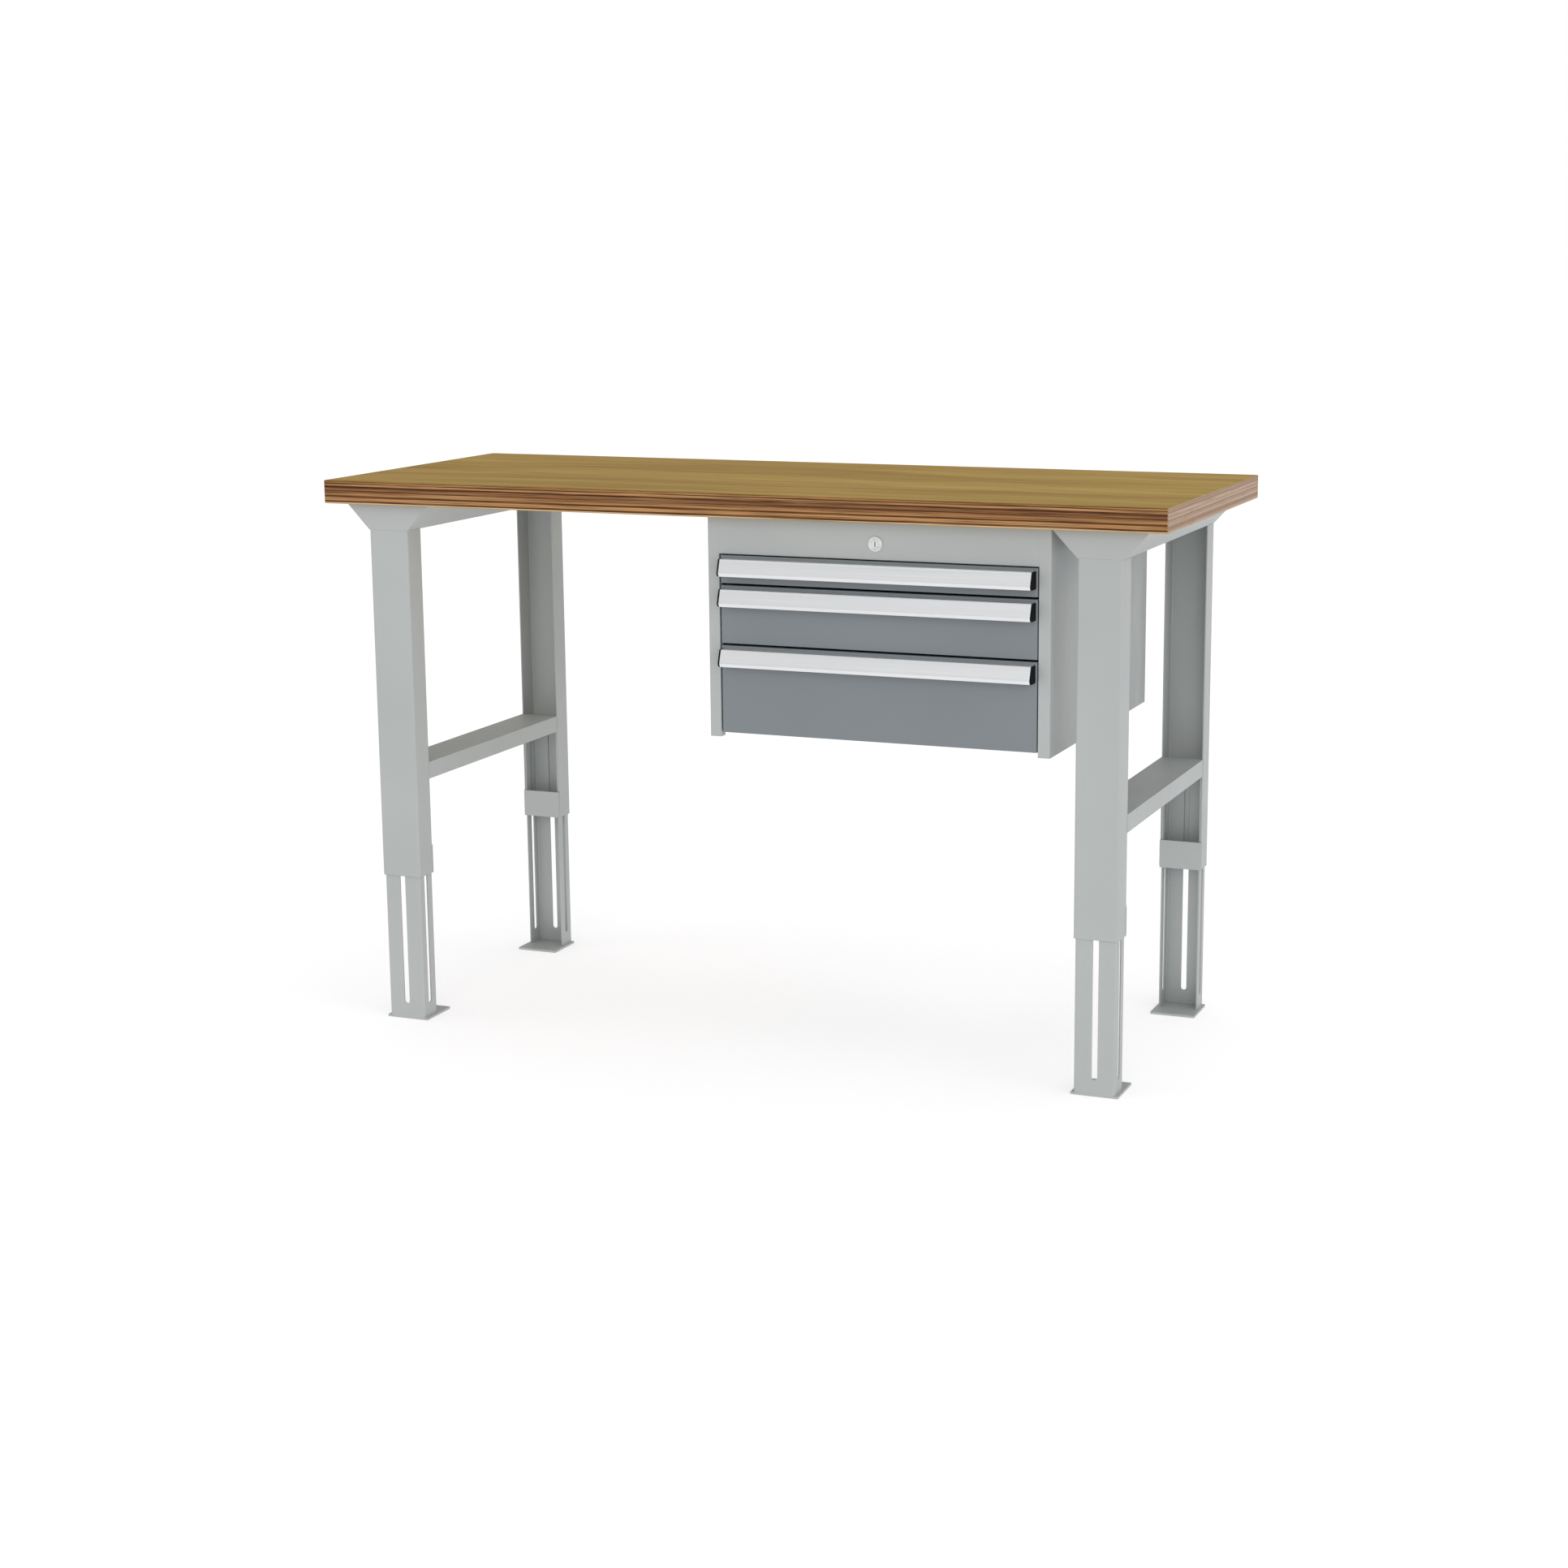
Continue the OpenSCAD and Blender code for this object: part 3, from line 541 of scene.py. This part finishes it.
def make_light():
    world = bpy.data.worlds.new("studio")
    world.use_nodes = True
    tree = world.node_tree
    background = tree.nodes["Background"]
    background.inputs["Color"].default_value = WHITE
    path = tree.nodes.new("ShaderNodeLightPath")
    strength = tree.nodes.new("ShaderNodeMapRange")
    tree.links.new(path.outputs["Is Camera Ray"], strength.inputs["Value"])
    strength.inputs["To Min"].default_value = ROOM_LIGHT
    strength.inputs["To Max"].default_value = ROOM_SHOWN
    tree.links.new(strength.outputs[0], background.inputs["Strength"])
    scene.world = world
    scene.view_settings.view_transform = "Standard"
    for name, direction, share, spread in LAMPS:
        data = bpy.data.lights.new(name, "SUN")
        data.energy = share * math.pi
        data.angle = math.radians(spread)
        light = bpy.data.objects.new(name, data)
        scene.collection.objects.link(light)
        light.location = Vector(direction) * LAMP_DISTANCE
        light.rotation_mode = "QUATERNION"
        light.rotation_quaternion = Vector(direction).to_track_quat("Z", "Y")


make_floor()
make_light()


# ---------- tools for small pieces ----------

SHARP_DEGREES = 50.0
NEARLY_UPRIGHT = 0.9
TUBE_SIDES = 8


def add_piece(name, shape, slot_name, body):
    data = bpy.data.meshes.new(name)
    bmesh.ops.recalc_face_normals(shape, faces=shape.faces)
    shape.to_mesh(data)
    shape.free()
    data.polygons.foreach_set("use_smooth", [True] * len(data.polygons))
    data.set_sharp_from_angle(angle=math.radians(SHARP_DEGREES))
    data.materials.append(materials[slot_name])
    piece = bpy.data.objects.new(name, data)
    scene.collection.objects.link(piece)
    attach(piece, body)


def join_rings(shape, rings, closed):
    """Faces between rings of points, with the two ends filled unless the rings close on themselves."""
    pairs = list(zip(rings, rings[1:]))
    if closed:
        pairs.append((rings[-1], rings[0]))
    for first, second in pairs:
        for index in range(len(first)):
            after = (index + 1) % len(first)
            shape.faces.new((first[index], first[after], second[after], second[index]))
    if not closed:
        shape.faces.new(list(reversed(rings[0])))
        shape.faces.new(rings[-1])


def tube(shape, path, radius_at, sides=TUBE_SIDES, closed=False):
    """A round bar along a path. radius_at gives its radius at each point's number."""
    rings = []
    count = len(path)
    for index, point in enumerate(path):
        before = path[index - 1] if closed or index > 0 else point
        after = path[(index + 1) % count] if closed or index + 1 < count else point
        along = (after - before).normalized()
        upright = Vector((0.0, 0.0, 1.0))
        if abs(along.z) >= NEARLY_UPRIGHT:
            upright = Vector((1.0, 0.0, 0.0))
        across = along.cross(upright).normalized()
        rise = across.cross(along)
        radius = radius_at(index)
        ring = []
        for step in range(sides):
            angle = 2.0 * math.pi * (step + 0.5) / sides
            reach = across * math.cos(angle) + rise * math.sin(angle)
            ring.append(shape.verts.new(point + reach * radius))
        rings.append(ring)
    join_rings(shape, rings, closed)


def line(start, end, step):
    """Points from start to end, about a step apart."""
    start = Vector(start)
    end = Vector(end)
    count = max(2, int((end - start).length / step))
    return [start.lerp(end, index / count) for index in range(count + 1)]


def rib(shape, start, end, step, end_radius, radius):
    """A pressed rib: a bar that is thinner at its two ends."""
    path = line(start, end, step)
    last = len(path) - 1
    tube(shape, path, lambda index: end_radius if index in (0, last) else radius)


def along_box(low, high, share):
    """The place at a share of the way from a box's low corner to its high one."""
    return low + (high - low) * share


# A weld's ripples, and its radius as shares of the full one: at its ends, gained per step, in a valley
BEAD_STEP = 0.9 * MM
BEAD_RIPPLE = 2.8 * MM
BEAD_END = 0.45
BEAD_GAIN = 0.2
BEAD_VALLEY = 0.84


def weld_bead(shape, start, end, radius):
    """A rippled weld, thinner at its two ends."""
    path = line(start, end, BEAD_STEP)
    last = len(path) - 1

    def radius_at(index):
        ripple = abs(math.sin(math.pi * index * BEAD_STEP / BEAD_RIPPLE))
        taper = min(1.0, BEAD_END + BEAD_GAIN * min(index, last - index))
        return radius * taper * (BEAD_VALLEY + (1.0 - BEAD_VALLEY) * ripple)

    tube(shape, path, radius_at)


# A rivet's head from its rim to its middle: shares of its radius and of its height
DOME_PROFILE = ((1.0, -0.2), (1.0, 0.25), (0.86, 0.62), (0.60, 0.88), (0.30, 0.98), (0.08, 1.0))
DOME_SIDES = 20


def dome(shape, centre, out, radius, height):
    """A rivet's head: rings that close over the middle of the side that shows."""
    out = Vector(out)
    across = out.orthogonal().normalized()
    rise = out.cross(across)
    rings = []
    for wide, proud in DOME_PROFILE:
        ring = []
        for step in range(DOME_SIDES):
            angle = 2.0 * math.pi * step / DOME_SIDES
            reach = across * math.cos(angle) + rise * math.sin(angle)
            ring.append(shape.verts.new(centre + reach * radius * wide + out * height * proud))
        rings.append(ring)
    join_rings(shape, rings, False)


# ---------- welds ----------

FOOT_BEAD = 2.3 * MM
SEAM_BEAD = 1.2 * MM
LEG_SHEET = 2.0 * MM
# How far a bead stays off the ends of what it joins
FLANGE_BEAD_INSET = 4 * MM
WEB_BEAD_INSET = 5 * MM
SEAM_BEAD_INSET = MM


def weld_foot(leg):
    """Beads that join a lower leg to its foot plate."""
    low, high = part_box(leg + "_lower_leg")
    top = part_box(leg + "_foot_plate")[1].z
    web = low.y + LEG_SHEET if "front" in leg else high.y - LEG_SHEET
    shape = bmesh.new()
    for x in (low.x, high.x):
        start = (x, low.y + FLANGE_BEAD_INSET, top)
        end = (x, high.y - FLANGE_BEAD_INSET, top)
        weld_bead(shape, start, end, FOOT_BEAD)
    start = (low.x + WEB_BEAD_INSET, web, top)
    end = (high.x - WEB_BEAD_INSET, web, top)
    weld_bead(shape, start, end, FOOT_BEAD)
    add_piece(leg + "_foot_welds", shape, "light_grey_paint", leg + "_leg")


def weld_side(side):
    """Beads where the cross-member, the straps and the top rail meet the legs of one side."""
    shape = bmesh.new()
    low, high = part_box(side + "_cross_member")
    for x in (low.x, high.x):
        for y in (low.y, high.y):
            start = (x, y, low.z + SEAM_BEAD_INSET)
            end = (x, y, high.z - SEAM_BEAD_INSET)
            weld_bead(shape, start, end, SEAM_BEAD)
    strap_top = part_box("leg_straps")[1].z
    for leg in (side + "_front", side + "_rear"):
        low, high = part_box(leg + "_upper_leg")
        seam = high.y if "front" in leg else low.y
        for x in (low.x, high.x):
            start = (x, seam, low.z + SEAM_BEAD_INSET)
            end = (x, seam, strap_top - SEAM_BEAD_INSET)
            weld_bead(shape, start, end, SEAM_BEAD)
            start = (x, low.y + WEB_BEAD_INSET, high.z)
            end = (x, high.y - WEB_BEAD_INSET, high.z)
            weld_bead(shape, start, end, SEAM_BEAD)
    add_piece(side + "_frame_welds", shape, "light_grey_paint", "frame")


# ---------- drawer trays ----------

# A tray stands this far inside its front on each side, and this far under the front's top
TRAY_INSET = 11.0 * MM
TRAY_BELOW = 6.0 * MM
TRAY_SHEET = 1.2 * MM

RIM_RADIUS = 1.1 * MM
RIM_SIDES = 10
RIM_CORNER = 1.6 * MM
RIM_CORNER_STEPS = 5
RIM_CORNER_TURN = 22.5

RIB_SPACING = 60.0 * MM
RIB_RADIUS = MM * 1.1
RIB_END_RADIUS = MM * 0.5
RIB_STEP = 2.5 * MM
RIB_ABOVE_FLOOR = 6 * MM
RIB_BELOW_RIM = 5 * MM

SWAGE_SHARES = (0.33, 0.67)
SWAGE_RADIUS = MM * 1.5
SWAGE_END_RADIUS = MM * 0.6
SWAGE_STEP = 8 * MM
SWAGE_INSET = 40 * MM

TRAY_RIVET_SHARES = (0.13, 0.5, 0.87)
TRAY_RIVET_RADIUS = 3.2 * MM
TRAY_RIVET_HEIGHT = 1.2 * MM


def tray_walls(drawer):
    """Corners of a drawer's tray, without the catches on its sides."""
    front_low, front_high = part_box(drawer + "_drawer_front")
    low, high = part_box(drawer + "_drawer_tray")
    return (
        Vector((front_low.x + TRAY_INSET, low.y, low.z)),
        Vector((front_high.x - TRAY_INSET, high.y, front_high.z - TRAY_BELOW)),
    )


def rim_path(low, high):
    """The line of a tray's rim with its corners rounded, from the right rear one round by the left."""
    half = TRAY_SHEET / 2
    path = []
    for sign_x, sign_y, turn in ((1, 1, 0.0), (-1, 1, 90.0), (-1, -1, 180.0), (1, -1, 270.0)):
        x = high.x - half if sign_x > 0 else low.x + half
        y = high.y - half if sign_y > 0 else low.y + half
        for step in range(RIM_CORNER_STEPS):
            angle = math.radians(turn + RIM_CORNER_TURN * step)
            path.append(Vector((
                x - sign_x * RIM_CORNER + RIM_CORNER * math.cos(angle),
                y - sign_y * RIM_CORNER + RIM_CORNER * math.sin(angle),
                high.z,
            )))
    return path


def press_tray(drawer):
    """The rolled rim of a tray, the ribs pressed in its sides and the swages in its floor."""
    low, high = tray_walls(drawer)
    floor_z = low.z + TRAY_SHEET
    shape = bmesh.new()
    tube(shape, rim_path(low, high), lambda index: RIM_RADIUS, sides=RIM_SIDES, closed=True)
    count = int((high.y - low.y) / RIB_SPACING)
    for number in range(1, count + 1):
        y = low.y + number * (high.y - low.y) / (count + 1)
        for x in (low.x + TRAY_SHEET, high.x - TRAY_SHEET):
            start = (x, y, floor_z + RIB_ABOVE_FLOOR)
            end = (x, y, high.z - RIB_BELOW_RIM)
            rib(shape, start, end, RIB_STEP, RIB_END_RADIUS, RIB_RADIUS)
    for share in SWAGE_SHARES:
        x = along_box(low.x, high.x, share)
        start = (x, low.y + SWAGE_INSET, floor_z)
        end = (x, high.y - SWAGE_INSET, floor_z)
        rib(shape, start, end, SWAGE_STEP, SWAGE_END_RADIUS, SWAGE_RADIUS)
    add_piece(drawer + "_tray_pressings", shape, "light_grey_paint", drawer + "_drawer")


def rivet_tray(drawer):
    """Heads of the rivets that hold the slides to a tray."""
    low, high = tray_walls(drawer)
    slide_low, slide_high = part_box(drawer + "_slide_inner")
    z = (slide_low.z + slide_high.z) / 2
    shape = bmesh.new()
    for share in TRAY_RIVET_SHARES:
        y = along_box(low.y, high.y, share)
        for x, inward in ((low.x + TRAY_SHEET, 1), (high.x - TRAY_SHEET, -1)):
            dome(shape, Vector((x, y, z)), (inward, 0, 0), TRAY_RIVET_RADIUS, TRAY_RIVET_HEIGHT)
    add_piece(drawer + "_tray_rivets", shape, "zinc_plate", drawer + "_drawer")


# ---------- handles, lock and cabinet ----------

# The handle's sloping face, from its box: how far its top edge stands out, and how low it ends
FACE_TOP_OUT = 15.0 * MM
FACE_HEIGHT = 23.0 * MM
FACE_LINE_SHARES = (0.05, 0.94)
FACE_LINE_RADIUS = 0.45 * MM
# The ribs behind the lip: the middle one's place as a share of the handle's depth and an offset
GRIP_SHARE = 0.12
GRIP_OFFSET = 3 * MM
GRIP_SPREAD = 12 * MM
GRIP_SHARES = (-0.15, 0.0, 0.15)
GRIP_RADIUS = 0.4 * MM
LINE_STEP = 20 * MM
LINE_INSET = 0.3 * MM


def line_handle(drawer):
    """Fine raised lines that frame a handle's face, and the grip ribs behind its lip."""
    low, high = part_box(drawer + "_handle")
    shape = bmesh.new()

    def full_length(y, z, radius):
        start = (low.x + LINE_INSET, y, z)
        end = (high.x - LINE_INSET, y, z)
        tube(shape, line(start, end, LINE_STEP), lambda index: radius)

    top = Vector((0.0, high.y - FACE_TOP_OUT, high.z))
    bottom = Vector((0.0, low.y, high.z - FACE_HEIGHT))
    for share in FACE_LINE_SHARES:
        place = top.lerp(bottom, share)
        full_length(place.y, place.z, FACE_LINE_RADIUS)
    for share in GRIP_SHARES:
        y = along_box(low.y, high.y, GRIP_SHARE) + share * GRIP_SPREAD + GRIP_OFFSET
        full_length(y, low.z, GRIP_RADIUS)
    add_piece(drawer + "_handle_lines", shape, "handle_aluminium", drawer + "_drawer")


# Rings on the lock's face: their own radius, and the radius of their bar
LOCK_RINGS = ((9.6 * MM, 0.55 * MM), (7.0 * MM, 0.4 * MM))
LOCK_RING_STEPS = 48


def ring_lock():
    """Turned steps on the lock's face."""
    low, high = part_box("lock_housing")
    middle = (low + high) / 2
    shape = bmesh.new()
    for radius, thick in LOCK_RINGS:
        path = []
        for step in range(LOCK_RING_STEPS):
            angle = 2 * math.pi * step / LOCK_RING_STEPS
            x = middle.x + radius * math.cos(angle)
            z = middle.z + radius * math.sin(angle)
            path.append(Vector((x, low.y, z)))
        tube(shape, path, lambda index, thick=thick: thick, closed=True)
    add_piece("lock_face_rings", shape, "lock_nickel", "frame")


BACK_RIVETS = 5
BACK_RIVET_INSET = 9 * MM
BACK_RIVET_RADIUS = 3.0 * MM
BACK_RIVET_HEIGHT = 1.1 * MM
# Shares of the cabinet side's height: where the lowest rivet sits, and how far apart they are
BACK_RIVET_FIRST = 0.08
BACK_RIVET_PITCH = 0.21


def rivet_cabinet():
    """Rivets along the back flanges."""
    shape = bmesh.new()
    for side in ("left", "right"):
        low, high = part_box("cabinet_" + side + "_side")
        x = low.x + BACK_RIVET_INSET if side == "left" else high.x - BACK_RIVET_INSET
        for number in range(BACK_RIVETS):
            z = along_box(low.z, high.z, BACK_RIVET_FIRST + BACK_RIVET_PITCH * number)
            centre = Vector((x, high.y, z))
            dome(shape, centre, (0, 1, 0), BACK_RIVET_RADIUS, BACK_RIVET_HEIGHT)
    add_piece("cabinet_back_rivets", shape, "light_grey_paint", "frame")


for leg_name in ("left_front", "left_rear", "right_front", "right_rear"):
    weld_foot(leg_name)
for side_name in ("left", "right"):
    weld_side(side_name)
for drawer_name in ("top", "middle", "bottom"):
    press_tray(drawer_name)
    rivet_tray(drawer_name)
    line_handle(drawer_name)
ring_lock()
rivet_cabinet()
